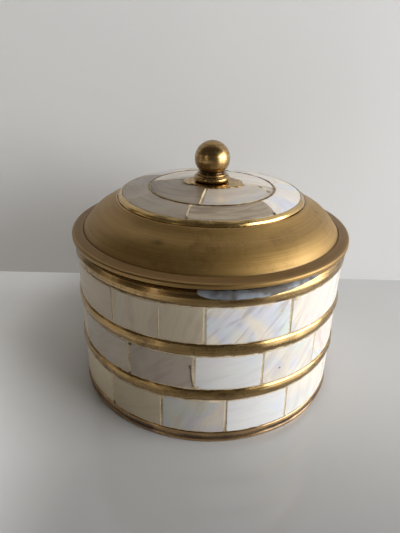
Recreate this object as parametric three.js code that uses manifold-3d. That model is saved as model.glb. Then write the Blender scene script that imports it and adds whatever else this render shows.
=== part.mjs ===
// A round lidded trinket box, turned and spun in brass and inlaid with mother-of-pearl.
// The body is a thin brass cup inside a coat of mastic. Three rows of curved pearl tiles are bedded in the mastic
// between four brass bands. The lid is a spun dome that lifts straight off: a collar under it drops into the cup, a
// pearl roundel is set in its crown, and a turned ball knob is bolted through the middle.
// Units are millimetres, +Z is up, and the origin is the centre of the foot on the surface it stands on.
import * as THREE from "three";
import { mergeVertices } from "three/addons/utils/BufferGeometryUtils.js";
import Module from "manifold-3d";

const wasm = await Module();
wasm.setup();

// ---- driving dimensions -------------------------------------------------------------------------------------------
const LID_RADIUS = 45; // edge of the lid's flange, the widest point
const PEARL_RADIUS = 43.8; // face of the tiles on the body
const BAND_RADIUS = 44.2; // brass bands stand a little proud of the tiles
const FOOT_RADIUS = 44;
const CUP_BORE = 39.6;
const CUP_WALL = 0.9;
const CUP_FLOOR = [0.8, 2]; // underside and top of the cup's floor
const TILE_THICKNESS = 1.6;
const JOINT = 0.6; // width of the mastic line between two tiles
const CLEARANCE = 0.1; // left between a piece and the one it is bedded in

// Heights where one ring of the body ends and the next begins.
const FOOT_TOP = 3.6;
const LOWER_BAND = [15.7, 19.6];
const UPPER_BAND = [31.1, 35.1];
const MOUTH_FOOT = 46.8;
const MOUTH_TOP = 52.4; // the lid's flange rests here
const MOUTH_RADIUS = 44.25; // the belly of the mouth band
const MOUTH_BELLY = 0.375; // where the belly lies, as a share of the band's height
const CUP_TOP = 52;

// The pearl roundel on the lid is a shallow spherical cap.
const CROWN_TOP = 67.9;
const CROWN_CURVE = 138; // radius of the sphere
const INLAY_THICKNESS = 1.5;
const BED_THICKNESS = 0.8;
const SHEET = 1; // brass sheet of the lid
const FRAME_RING = [28.6, 29.9]; // inner and outer radius
const DIVIDER_RING = [19.75, 20.45];
const SHANK_RADIUS = 1.9; // threaded shank under the knob
const SHANK_HOLE = 2.15;
const SHANK_FOOT = 60.9; // height of the shank's lower end
const GROOVE = { radius: 41.3, height: 54.6 }; // foot of the dome's side
const SHOULDER = { radius: 30.6, height: 63.55 }; // head of the dome's side
const REBATE = { radius: 40.9, depth: 1.2 }; // cut in the flange's underside for the collar's lip
const COLLAR = { depth: 5.2, wall: 0.8, play: 0.35 }; // depth below the flange, and play in the cup
const BALL = { radius: 5.6, height: 75.4 }; // the knob's ball and the height of its centre
const PLATE = { wide: 9.3, deep: 7.4, thickness: 0.6 }; // half widths of the rosette
const NUT = { corner: 4, height: 2 };

const RING_SIDES = 60;
const KNOB_SIDES = 36;
const ARC_STEP = THREE.MathUtils.degToRad(5);

// Where the joints between tiles stand, in degrees round from the front towards the right.
const ROWS = [
  { name: "lower", span: [FOOT_TOP, LOWER_BAND[0]], joints: [-42.4, -18, 7, 33], tiles: 13 },
  { name: "middle", span: [LOWER_BAND[1], UPPER_BAND[0]], joints: [-63, -32, -5.5, 20.3, 46.4], tiles: 12 },
  { name: "upper", span: [UPPER_BAND[1], MOUTH_FOOT], joints: [-39.1, -2, 30.5], tiles: 11 },
];
// The lid's joints lean, so each has an angle at its inner end and one at its outer end.
const LID_RINGS = [
  { name: "inner", radii: [2.5, DIVIDER_RING[0]], joints: [[-16, -9.5], [86, 86], [166, 172], [252, 258]] },
  {
    name: "outer",
    radii: [DIVIDER_RING[1], FRAME_RING[0]],
    joints: [[-17.5, -14.5], [45.5, 38.5], [104, 106], [171, 168], [233, 236], [-64, -62]],
  },
];

// ---- materials ----------------------------------------------------------------------------------------------------
const satinBrass = () => new THREE.MeshStandardMaterial({ color: 0x9a7a45, roughness: 0.42, metalness: 1 });
const brightBrass = () => new THREE.MeshStandardMaterial({ color: 0xb58e4c, roughness: 0.25, metalness: 1 });
const pearl = () => new THREE.MeshStandardMaterial({ color: 0xe6e1d8, roughness: 0.22, metalness: 0 });
const mastic = () => new THREE.MeshStandardMaterial({ color: 0xb7a77f, roughness: 0.7, metalness: 0 });

// ---- shape helpers ------------------------------------------------------------------------------------------------
const part = new THREE.Group();

// Adds one named piece to the object.
function add(name, geometry, material) {
  const mesh = new THREE.Mesh(geometry, material);
  mesh.name = name;
  part.add(mesh);
}

// A closed profile of [radius, height] points, listed with the material on its left, turned about Z.
function turned(profile, sides = RING_SIDES) {
  const points = profile.map(([r, z]) => new THREE.Vector2(r, z));
  const first = points[0];
  if (first.x > 0 || points[points.length - 1].x > 0) points.push(first.clone());
  return new THREE.LatheGeometry(points, sides).rotateX(Math.PI / 2);
}

// Points on a curve: value(t) for t from 0 to 1, both ends included.
function sampled(steps, value) {
  return Array.from({ length: steps + 1 }, (_, i) => value(i / steps));
}

// A flat arc sector in plan, from angle a to angle b at the radii given, extruded from z0 to z1.
function sector(inner, outer, a, b, z0, z1) {
  const steps = Math.max(2, Math.ceil((b - a) / ARC_STEP));
  const at = (r, t) => new THREE.Vector2(r * Math.sin(a + (b - a) * t), -r * Math.cos(a + (b - a) * t));
  const outline = [...sampled(steps, (t) => at(outer, t)), ...sampled(steps, (t) => at(inner, 1 - t))];
  const shape = new THREE.Shape(outline);
  return new THREE.ExtrudeGeometry(shape, { depth: z1 - z0, bevelEnabled: false, steps: 1 }).translate(0, 0, z0);
}

// A three.js geometry as a manifold-3d solid, and back.
function toSolid(geometry) {
  const bare = geometry.index ? geometry.toNonIndexed() : geometry.clone();
  bare.deleteAttribute("normal");
  bare.deleteAttribute("uv");
  const merged = mergeVertices(bare, 1e-4);
  return new wasm.Manifold(
    new wasm.Mesh({
      numProp: 3,
      vertProperties: new Float32Array(merged.attributes.position.array),
      triVerts: new Uint32Array(merged.index.array),
    }),
  );
}

function toGeometry(solid) {
  const mesh = solid.getMesh();
  const geometry = new THREE.BufferGeometry();
  geometry.setAttribute("position", new THREE.BufferAttribute(new Float32Array(mesh.vertProperties), 3));
  geometry.setIndex(new THREE.BufferAttribute(new Uint32Array(mesh.triVerts), 1));
  return geometry;
}

// ---- body ---------------------------------------------------------------------------------------------------------
// The angles of every joint in a row: the known ones, then even spacing round the rest of the circle.
function rowJoints({ joints, tiles }) {
  const missing = tiles - joints.length;
  const last = joints[joints.length - 1];
  const step = (joints[0] + 360 - last) / (missing + 1);
  const rest = Array.from({ length: missing }, (_, i) => last + step * (i + 1));
  return [...joints, ...rest].map(THREE.MathUtils.degToRad);
}

// Each tile of a row as the angles and heights of its block.
function rowTiles(row) {
  const joints = rowJoints(row);
  const half = JOINT / 2 / PEARL_RADIUS;
  return joints.map((start, i) => {
    const next = i + 1 < joints.length ? joints[i + 1] : joints[0] + 2 * Math.PI;
    return { a: start + half, b: next - half, z0: row.span[0] + JOINT / 2, z1: row.span[1] - JOINT / 2 };
  });
}

function innerCup() {
  const outer = CUP_BORE + CUP_WALL;
  return turned([
    [0, CUP_FLOOR[0]],
    [outer - 0.6, CUP_FLOOR[0]],
    [outer, CUP_FLOOR[0] + 0.6],
    [outer, CUP_TOP],
    [CUP_BORE, CUP_TOP],
    [CUP_BORE, CUP_FLOOR[1] + 1],
    [CUP_BORE - 1, CUP_FLOOR[1]],
    [0, CUP_FLOOR[1]],
  ]);
}

const SLEEVE_BORE = CUP_BORE + CUP_WALL + 0.2;
const BAND_BORE = PEARL_RADIUS - TILE_THICKNESS;

// The foot is a flat-bottomed band with a small rounded lower edge.
function footRing() {
  return turned([
    [SLEEVE_BORE, 0],
    [FOOT_RADIUS - 0.5, 0],
    [FOOT_RADIUS, 0.5],
    [FOOT_RADIUS, FOOT_TOP - 0.5],
    [FOOT_RADIUS - 0.3, FOOT_TOP],
    [SLEEVE_BORE, FOOT_TOP],
  ]);
}

// A brass strip with a softly rounded face: a shallow arc between its two edges.
function bandRing([z0, z1]) {
  const bulge = BAND_RADIUS - (PEARL_RADIUS + 0.05);
  const face = sampled(4, (t) => [BAND_RADIUS - bulge * (2 * t - 1) ** 2, z0 + (z1 - z0) * t]);
  return turned([[BAND_BORE, z0], ...face, [BAND_BORE, z1]]);
}

// The mouth band: a full bead that draws in a little below its belly and further above it, to the flat top that
// carries the lid.
function mouthBand() {
  const drawnIn = { below: 0.8, above: 2 };
  const bead = sampled(8, (t) => {
    const below = Math.max(0, 1 - t / MOUTH_BELLY);
    const above = Math.max(0, (t - MOUTH_BELLY) / (1 - MOUTH_BELLY));
    const radius = MOUTH_RADIUS - drawnIn.below * below ** 3 - drawnIn.above * above ** 2.4;
    return [radius, MOUTH_FOOT + (MOUTH_TOP - MOUTH_FOOT) * t];
  });
  return turned([[SLEEVE_BORE, MOUTH_FOOT], ...bead, [SLEEVE_BORE, MOUTH_TOP]]);
}

// The mastic coat fills everything between the bands, with a pocket for each tile and a seat under each band.
function masticSleeve() {
  const face = PEARL_RADIUS - 0.15;
  const seat = BAND_BORE - CLEARANCE;
  let coat = toSolid(
    turned([
      [SLEEVE_BORE, FOOT_TOP],
      [face, FOOT_TOP],
      [face, LOWER_BAND[0]],
      [seat, LOWER_BAND[0]],
      [seat, LOWER_BAND[1]],
      [face, LOWER_BAND[1]],
      [face, UPPER_BAND[0]],
      [seat, UPPER_BAND[0]],
      [seat, UPPER_BAND[1]],
      [face, UPPER_BAND[1]],
      [face, MOUTH_FOOT],
      [SLEEVE_BORE, MOUTH_FOOT],
    ]),
  );
  const widen = CLEARANCE / PEARL_RADIUS;
  for (const tile of ROWS.flatMap(rowTiles)) {
    const pocket = sector(
      seat,
      PEARL_RADIUS + 2,
      tile.a - widen,
      tile.b + widen,
      tile.z0 - CLEARANCE,
      tile.z1 + CLEARANCE,
    );
    coat = coat.subtract(toSolid(pocket));
  }
  return toGeometry(coat);
}

function addBody() {
  add("inner_cup", innerCup(), satinBrass());
  add("foot_ring", footRing(), satinBrass());
  add("lower_band", bandRing(LOWER_BAND), satinBrass());
  add("upper_band", bandRing(UPPER_BAND), satinBrass());
  add("mouth_band", mouthBand(), satinBrass());
  add("mastic_sleeve", masticSleeve(), mastic());
  for (const row of ROWS) {
    rowTiles(row).forEach(({ a, b, z0, z1 }, i) => {
      const block = sector(BAND_BORE, PEARL_RADIUS, a, b, z0, z1);
      add(`${row.name}_tile_${String(i + 1).padStart(2, "0")}`, block, pearl());
    });
  }
}

// ---- lid ----------------------------------------------------------------------------------------------------------
// Height of the pearl roundel's face, and of anything at a depth below it, at radius r.
const crown = (r, depth = 0) => CROWN_TOP - depth - (r * r) / (2 * CROWN_CURVE);
const SEAT_DEPTH = INLAY_THICKNESS + BED_THICKNESS + 2 * CLEARANCE;
const RECESS_RADIUS = FRAME_RING[1] + CLEARANCE;
const LINED = [0.86, 0.12]; // the stretch of the dome's side that its inside follows, from the flange upwards

// The sloping side of the dome: an ogee, hollow under the roundel and full above the flange.
function domeSide(t) {
  const r = SHOULDER.radius + (GROOVE.radius - SHOULDER.radius) * t;
  const straight = SHOULDER.height + (GROOVE.height - SHOULDER.height) * t;
  return [r, straight + 1.05 * Math.sin(Math.PI * t ** 1.25) - 0.25 * Math.sin(2 * Math.PI * t)];
}

// The spun shell: crown seat, recess wall, dome side, groove, flange, then back along the inside.
function lidDome() {
  const outside = [
    ...sampled(3, (t) => {
      const r = SHANK_HOLE + (RECESS_RADIUS - SHANK_HOLE) * t;
      return [r, crown(r, SEAT_DEPTH)];
    }),
    [RECESS_RADIUS, SHOULDER.height - 0.1],
    ...sampled(6, domeSide),
    [GROOVE.radius + 0.4, GROOVE.height + 0.12],
    [LID_RADIUS - 0.4, MOUTH_TOP + 1.5],
    [LID_RADIUS, MOUTH_TOP + 1.15],
    [LID_RADIUS, MOUTH_TOP + 0.25],
    [LID_RADIUS - 0.25, MOUTH_TOP],
  ];
  const inside = [
    [REBATE.radius, MOUTH_TOP],
    [REBATE.radius, MOUTH_TOP + REBATE.depth],
    ...sampled(4, (t) => {
      const [r, z] = domeSide(LINED[0] + (LINED[1] - LINED[0]) * t);
      return [r - 0.75 * SHEET, z - 0.95 * SHEET];
    }),
    ...sampled(3, (t) => {
      const r = FRAME_RING[0] + (SHANK_HOLE - FRAME_RING[0]) * t;
      return [r, crown(r, SEAT_DEPTH + SHEET)];
    }),
  ];
  return turned([...inside, ...outside].reverse());
}

// The locating collar: a ring that drops into the cup, with a lip soldered in the lid's rebate.
function lidCollar() {
  const outer = CUP_BORE - COLLAR.play;
  const inner = outer - COLLAR.wall;
  const foot = MOUTH_TOP - COLLAR.depth;
  const lip = { radius: REBATE.radius - 0.2, low: MOUTH_TOP + 0.2, high: MOUTH_TOP + REBATE.depth - 0.3 };
  return turned([
    [inner, foot],
    [outer - 0.3, foot],
    [outer, foot + 0.5],
    [outer, lip.low],
    [lip.radius, lip.low],
    [lip.radius, lip.high],
    [inner, lip.high],
  ]);
}

// The bevelled ring round the roundel, standing on the crown seat: level with the tiles, then falling outwards.
function inlayFrame() {
  const [inner, outer] = FRAME_RING;
  const top = crown(inner);
  return turned([
    [inner, crown(inner, SEAT_DEPTH) + CLEARANCE],
    [outer, crown(outer, SEAT_DEPTH) + CLEARANCE],
    [outer, top - 1],
    [outer - 0.2, top - 0.6],
    [inner + 0.35, top],
    [inner, top],
  ]);
}

// The thin strip between the two rings of tiles.
function inlayDivider() {
  const [inner, outer] = DIVIDER_RING;
  const foot = crown(outer, INLAY_THICKNESS);
  return turned([
    [inner, foot],
    [outer, foot],
    [outer, crown(outer) + 0.08],
    [(inner + outer) / 2, crown(outer) + 0.2],
    [inner, crown(inner) + 0.08],
  ]);
}

// A shell of the roundel between two radii and two depths below its face.
function crownShell([inner, outer], [top, bottom], steps) {
  const at = (depth) => (t) => {
    const r = inner + (outer - inner) * t;
    return [r, crown(r, depth)];
  };
  return turned([...sampled(steps, at(bottom)), ...sampled(steps, at(top)).reverse()]);
}

// The block of space between two leaning joints, as a tall wedge: its corners in plan are where each joint
// meets the ring's two radii, carried on past them, and it keeps back half a joint's width from each.
function wedge([inner, outer], from, to, margin) {
  const corner = (joint, r, side) => {
    const angles = joint.map(THREE.MathUtils.degToRad);
    const t = (r - inner) / (outer - inner);
    const angle = angles[0] + (angles[1] - angles[0]) * t + (side * margin) / r;
    return new THREE.Vector2(r * Math.sin(angle), -r * Math.cos(angle));
  };
  const reach = outer + 1;
  const near = Math.max(inner - 0.5, 1);
  const steps = 10;
  const start = sampled(1, (t) => corner(from, near + (reach - near) * t, 1));
  const end = sampled(1, (t) => corner(to, near + (reach - near) * (1 - t), -1));
  const arc = (r, a, b) => {
    const first = Math.atan2(a.x, -a.y);
    const turn = (((Math.atan2(b.x, -b.y) - first) % (2 * Math.PI)) + 2 * Math.PI) % (2 * Math.PI);
    return sampled(steps, (t) => {
      const angle = first + turn * t;
      return new THREE.Vector2(r * Math.sin(angle), -r * Math.cos(angle));
    }).slice(1, -1);
  };
  const outline = [...start, ...arc(reach, start[1], end[0]), ...end, ...arc(near, start[0], end[1]).reverse()];
  const depth = 12;
  return toSolid(
    new THREE.ExtrudeGeometry(new THREE.Shape(outline), { depth, bevelEnabled: false }).translate(0, 0, 60),
  );
}

// The tiles of one ring of the roundel, grown by `grow` on every side.
function ringTiles({ radii, joints }, grow = 0) {
  const band = [radii[0] - grow + CLEARANCE, radii[1] + grow - CLEARANCE];
  const shell = toSolid(crownShell(band, [-grow, INLAY_THICKNESS + grow], 2));
  return joints.map((joint, i) => {
    const following = i + 1 < joints.length ? joints[i + 1] : joints[0];
    return shell.intersect(wedge(radii, joint, following, JOINT / 2 - grow));
  });
}

// The bed of mastic under the roundel stands up between the tiles, so each tile lies in a pocket.
function inlayBed() {
  const reach = [SHANK_HOLE + 0.3, FRAME_RING[0] - CLEARANCE];
  let bed = toSolid(crownShell(reach, [0.12, INLAY_THICKNESS + BED_THICKNESS], 3));
  const groove = crownShell(
    [DIVIDER_RING[0] - CLEARANCE, DIVIDER_RING[1] + CLEARANCE],
    [-1, INLAY_THICKNESS + CLEARANCE],
    1,
  );
  bed = bed.subtract(toSolid(groove));
  for (const ring of LID_RINGS) {
    for (const tile of ringTiles(ring, CLEARANCE)) {
      bed = bed.subtract(tile);
    }
  }
  return toGeometry(bed);
}

// An oval rosette under the knob, wider across than it is deep.
function knobPlate() {
  const outline = new THREE.Shape();
  outline.absellipse(0, 0, PLATE.wide, PLATE.deep, 0, 2 * Math.PI);
  const hole = new THREE.Path();
  hole.absarc(0, 0, SHANK_HOLE, 0, 2 * Math.PI);
  outline.holes.push(hole);
  const plate = { depth: PLATE.thickness, bevelEnabled: false, curveSegments: 24 };
  return new THREE.ExtrudeGeometry(outline, plate).translate(0, 0, CROWN_TOP + 0.05);
}

// The knob is one turned piece: threaded shank, rounded collar, waist and ball.
function knob() {
  const seat = CROWN_TOP + PLATE.thickness + 0.05;
  const start = THREE.MathUtils.degToRad(-44);
  const sphere = sampled(11, (t) => {
    const angle = start + (Math.PI / 2 - start) * t;
    return [t < 1 ? BALL.radius * Math.cos(angle) : 0, BALL.height + BALL.radius * Math.sin(angle)];
  });
  return turned(
    [
      [0, SHANK_FOOT],
      [SHANK_RADIUS - 0.4, SHANK_FOOT],
      [SHANK_RADIUS, SHANK_FOOT + 0.4],
      [SHANK_RADIUS, seat],
      [5.2, seat],
      [5.75, seat + 0.6],
      [5.75, seat + 1.1],
      [5.1, seat + 1.75],
      [4.2, seat + 2.1],
      [3.75, seat + 2.5],
      ...sphere,
    ],
    KNOB_SIDES,
  );
}

// A hexagon nut under the crown that holds the knob.
function knobNut() {
  const outline = new THREE.Shape();
  const corners = Array.from({ length: 6 }, (_, i) => {
    const angle = (i * Math.PI) / 3;
    return new THREE.Vector2(NUT.corner * Math.cos(angle), NUT.corner * Math.sin(angle));
  });
  outline.setFromPoints(corners);
  const hole = new THREE.Path();
  hole.absarc(0, 0, SHANK_HOLE, 0, 2 * Math.PI);
  outline.holes.push(hole);
  const top = crown(NUT.corner, SEAT_DEPTH + SHEET) - CLEARANCE;
  const nut = { depth: NUT.height, bevelEnabled: false, curveSegments: 24 };
  return new THREE.ExtrudeGeometry(outline, nut).translate(0, 0, top - NUT.height);
}

function addLid() {
  add("lid_dome", lidDome(), satinBrass());
  add("lid_collar", lidCollar(), satinBrass());
  add("inlay_frame", inlayFrame(), brightBrass());
  add("inlay_divider", inlayDivider(), brightBrass());
  add("inlay_bed", inlayBed(), mastic());
  for (const ring of LID_RINGS) {
    ringTiles(ring).forEach((tile, i) => add(`lid_${ring.name}_tile_${i + 1}`, toGeometry(tile), pearl()));
  }
  add("knob_plate", knobPlate(), brightBrass());
  add("knob", knob(), brightBrass());
  add("knob_nut", knobNut(), brightBrass());
}

addBody();
addLid();

export default part;
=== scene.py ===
"""A round trinket box of brass and mother-of-pearl, dressed around its fixed frame.

Sizes are millimetres and angles are degrees unless a name or a comment says otherwise. Angles round the box
start at the front, -Y, and grow towards the right, +X. Every surface is worked out as a whole numpy array and
put into its mesh at once.
"""

import logging
import math
from collections.abc import Callable
from dataclasses import dataclass, field
from enum import Enum

import bpy
import numpy as np
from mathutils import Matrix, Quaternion, Vector


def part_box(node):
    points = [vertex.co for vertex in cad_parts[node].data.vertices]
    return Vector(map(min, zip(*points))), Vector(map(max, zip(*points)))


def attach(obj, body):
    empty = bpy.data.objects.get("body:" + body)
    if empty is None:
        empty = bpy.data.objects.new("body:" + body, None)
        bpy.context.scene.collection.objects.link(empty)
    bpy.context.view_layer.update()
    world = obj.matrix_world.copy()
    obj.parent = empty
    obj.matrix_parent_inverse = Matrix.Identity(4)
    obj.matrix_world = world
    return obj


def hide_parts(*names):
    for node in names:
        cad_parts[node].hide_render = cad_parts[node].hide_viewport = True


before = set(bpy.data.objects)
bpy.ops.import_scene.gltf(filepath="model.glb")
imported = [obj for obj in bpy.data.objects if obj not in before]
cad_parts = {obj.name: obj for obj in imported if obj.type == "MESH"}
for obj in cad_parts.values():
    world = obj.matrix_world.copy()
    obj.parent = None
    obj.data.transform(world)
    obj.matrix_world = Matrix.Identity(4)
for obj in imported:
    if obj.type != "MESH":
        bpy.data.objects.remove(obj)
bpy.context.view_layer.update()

MM = 0.001
COLUMNS = 288  # points round anything turned
Colour = tuple[float, float, float]
Field = Callable[[np.ndarray, np.ndarray], np.ndarray]
log = logging.getLogger("trinket_box")


# ---- the frame's own sizes -------------------------------------------------------------------------------
def node_points(node: str) -> np.ndarray:
    """Corner points of one node of the frame.

    Args:
        node: The node's name.

    Returns:
        An array of shape (count, 3) in millimetres.
    """
    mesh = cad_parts[node].data
    flat = np.empty(len(mesh.vertices) * 3)
    mesh.vertices.foreach_get("co", flat)
    return flat.reshape(-1, 3) / MM


def node_heights(node: str) -> tuple[float, float]:
    """Lowest and highest point of a node, in millimetres."""
    low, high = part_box(node)
    return low.z / MM, high.z / MM


def node_radii(node: str) -> tuple[float, float]:
    """Smallest and largest distance of a node's corners from the axis, in millimetres."""
    reach = np.hypot(*node_points(node)[:, :2].T)
    return float(reach.min()), float(reach.max())


def tile_angles(points: np.ndarray) -> np.ndarray:
    """Angles of a tile's corners round the box, counted from the tile's middle so that none jumps by a turn.

    Args:
        points: Corner points of shape (count, 3).

    Returns:
        Angles in radians, from the front towards the right.
    """
    middle = math.atan2(points[:, 0].mean(), -points[:, 1].mean())
    angles = np.arctan2(points[:, 0], -points[:, 1])
    return middle + np.angle(np.exp(1j * (angles - middle)))


def around(radius: np.ndarray, angle: np.ndarray, height: np.ndarray) -> np.ndarray:
    """Points from cylinder measures: (r sin a, -r cos a, z).

    Args:
        radius: Distances from the axis, in millimetres.
        angle: Angles from the front towards the right, in radians.
        height: Heights, in millimetres.

    Returns:
        An array with one more axis of length 3.
    """
    radius, angle, height = np.broadcast_arrays(radius, angle, height)
    return np.stack([radius * np.sin(angle), -radius * np.cos(angle), height], axis=-1)


# ---- surfaces --------------------------------------------------------------------------------------------
class Ends(Enum):
    """How the first and last rows of a surface are finished."""

    RING = "ring"  # the last row joins the first
    POLES = "poles"  # each is drawn together to one point


def surface(name: str, points: np.ndarray, ends: Ends, marks: dict[str, np.ndarray]) -> bpy.types.Object:
    """A closed smooth-shaded mesh from a grid whose columns close on themselves.

    Args:
        name: Name of the piece.
        points: Grid of shape (rows, columns, 3) in millimetres.
        ends: How the first and last rows are finished.
        marks: Values kept on the points for the finishes, of shape (rows, columns) or (rows, columns, 3).

    Returns:
        The new object, at the origin.
    """
    rows, columns = points.shape[:2]
    index = np.arange(rows * columns).reshape(rows, columns)
    below = index if ends is Ends.RING else index[:-1]
    above = np.roll(index, -1, axis=0) if ends is Ends.RING else index[1:]
    quads = np.stack([below, np.roll(below, -1, 1), np.roll(above, -1, 1), above], axis=-1).reshape(-1, 4)
    places = points.reshape(-1, 3)
    triangles = np.empty((0, 3), int)
    if ends is Ends.POLES:
        places = np.vstack([places, points[0].mean(0), points[-1].mean(0)])
        first, last = index[0], index[-1]
        low = np.stack([np.roll(first, -1), first, np.full(columns, rows * columns)], axis=-1)
        high = np.stack([last, np.roll(last, -1), np.full(columns, rows * columns + 1)], axis=-1)
        triangles = np.vstack([low, high])
    corners = np.vstack([quads[:, [0, 1, 2]], quads[:, [0, 2, 3]], triangles])
    a, b, c = (places[corners[:, k]] for k in range(3))
    if np.einsum("ij,ij->", a, np.cross(b, c)) < 0:
        quads, triangles = quads[:, ::-1], triangles[:, ::-1]

    mesh = bpy.data.meshes.new(name)
    mesh.vertices.add(len(places))
    mesh.vertices.foreach_set("co", (places * MM).astype(np.float32).ravel())
    mesh.loops.add(quads.size + triangles.size)
    around_faces = np.concatenate([quads.ravel(), triangles.ravel()])
    mesh.loops.foreach_set("vertex_index", around_faces.astype(np.int32))
    sides = np.concatenate([np.full(len(quads), 4), np.full(len(triangles), 3)])
    mesh.polygons.add(len(sides))
    mesh.polygons.foreach_set("loop_start", (np.cumsum(sides) - sides).astype(np.int32))
    mesh.polygons.foreach_set("use_smooth", np.ones(len(sides), bool))
    mesh.update(calc_edges=True)
    for mark, values in marks.items():
        _keep_mark(mesh, mark, values, ends)
    piece = bpy.data.objects.new(name, mesh)
    bpy.context.scene.collection.objects.link(piece)
    return piece


def _keep_mark(mesh: bpy.types.Mesh, mark: str, values: np.ndarray, ends: Ends) -> None:
    """Stores one grid of values, or of 3-D values, on the points of a mesh that `surface` made."""
    vector = values.ndim == 3
    flat = values.reshape(-1, 3) if vector else values.ravel()
    if ends is Ends.POLES:
        flat = np.concatenate([flat, [values[0].mean(0)], [values[-1].mean(0)]])
    kind, slot = ("FLOAT_VECTOR", "vector") if vector else ("FLOAT", "value")
    mesh.attributes.new(mark, kind, "POINT").data.foreach_set(slot, flat.astype(np.float32).ravel())


@dataclass(frozen=True)
class Ripple:
    """A smooth unevenness that closes on itself round the box: a sum of slanted cosines.

    Its height at angle a and distance d along a profile is the mean over k of
    cos(n_k a + 2 pi d / l_k + p_k), times the amplitude, with whole numbers n_k.
    """

    amplitude: float
    waves: int  # most waves in one turn
    length: float  # shortest wave along the profile
    seed: int
    terms: int = 12

    def height(self, angle: np.ndarray, distance: np.ndarray) -> np.ndarray:
        """Height of the unevenness in millimetres.

        Args:
            angle: Angles in radians.
            distance: Distances along the profile in millimetres.

        Returns:
            An array of the two broadcast shapes.
        """
        rng = np.random.default_rng(self.seed)
        turns = rng.integers(1, self.waves + 1, self.terms)
        slopes = 2 * np.pi / (self.length * rng.uniform(1, 4, self.terms)) * rng.choice([-1, 1], self.terms)
        starts = rng.uniform(0, 2 * np.pi, self.terms)
        a = np.asarray(angle)[..., None]
        d = np.asarray(distance)[..., None]
        waves = np.cos(turns * a + slopes * d + starts)
        return self.amplitude * waves.sum(-1) * math.sqrt(2 / self.terms)


def crumbling(losses: Ripple) -> Field:
    """Small losses in a face: a ripple that only goes inwards, the negative of its absolute height."""
    return lambda angle, height: -np.abs(losses.height(angle, height))


def rounded_line(corners: list[tuple[float, float, float]], closed: bool, step: float = 0.45) -> np.ndarray:
    """A profile with its corners rounded off.

    Each corner is replaced by the arc of 7 points that touches both of its sides, and long stretches are
    then divided. The arc's point at share t is c + (sin((1 - t) w) a + sin(t w) b) / sin w, where w is its
    sweep and a and b run from its centre c to its ends.

    Args:
        corners: (radius, height, rounding) of each corner.
        closed: Whether the last corner joins the first.
        step: Longest stretch left undivided.

    Returns:
        Points of shape (count, 2): radius and height.
    """
    runs = []
    count = len(corners)
    for i, (radius, height, rounding) in enumerate(corners):
        here = np.array((radius, height))
        if rounding == 0 or (not closed and i in (0, count - 1)):
            runs.append(here[None])
            continue
        before = np.array(corners[i - 1][:2]) - here
        after = np.array(corners[(i + 1) % count][:2]) - here
        before, after = before / np.linalg.norm(before), after / np.linalg.norm(after)
        half = math.acos(np.clip(before @ after, -1, 1)) / 2
        inward = (before + after) / np.linalg.norm(before + after)
        centre = here + inward * rounding / math.sin(half)
        start = here + before * rounding / math.tan(half) - centre
        stop = here + after * rounding / math.tan(half) - centre
        sweep = math.pi - 2 * half
        t = np.linspace(0, 1, 7)[:, None]
        runs.append(centre + (np.sin((1 - t) * sweep) * start + np.sin(t * sweep) * stop) / math.sin(sweep))
    return divided(np.vstack(runs), closed, step)


def divided(line: np.ndarray, closed: bool, step: float) -> np.ndarray:
    """Adds points to a line so that no stretch is longer than about `step`.

    Args:
        line: Points of shape (count, 2).
        closed: Whether the last point joins the first.
        step: Longest stretch left undivided, in millimetres.

    Returns:
        The points with the new ones among them.
    """
    path = np.vstack([line, line[:1]]) if closed else line
    along = np.concatenate([[0], np.cumsum(np.hypot(*np.diff(path, axis=0).T))])
    extra = np.arange(step, along[-1], step)
    extra = extra[np.abs(extra[:, None] - along).min(1) > 0.35 * step]
    places = np.sort(np.concatenate([along[:-1] if closed else along, extra]))
    return np.stack([np.interp(places, along, path[:, k]) for k in range(2)], axis=-1)


def hollowness(line: np.ndarray, closed: bool, reach: float = 0.9) -> np.ndarray:
    """How far each point of a profile lies in a hollow: its depth below the mean of its neighbours.

    Args:
        line: Profile points with the material on their left.
        closed: Whether the profile closes on itself.
        reach: Distance to the neighbours that are looked at, in millimetres.

    Returns:
        Depths in millimetres: above 0 in a groove, below 0 on an edge.
    """
    path = np.vstack([line, line, line]) if closed else line
    along = np.concatenate([[0], np.cumsum(np.hypot(*np.diff(path, axis=0).T))])
    sides = [np.stack([np.interp(along + shift, along, path[:, k]) for k in range(2)], -1)
             for shift in (-reach, -reach / 2, reach / 2, reach)]
    tangent = sides[3] - sides[0]
    tangent /= np.maximum(np.linalg.norm(tangent, axis=1, keepdims=True), 1e-6)
    outward = np.stack([tangent[:, 1], -tangent[:, 0]], axis=-1)
    depth = np.einsum("ij,ij->i", np.mean(sides, axis=0) - path, outward)
    return depth[len(line):2 * len(line)] if closed else depth


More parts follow.
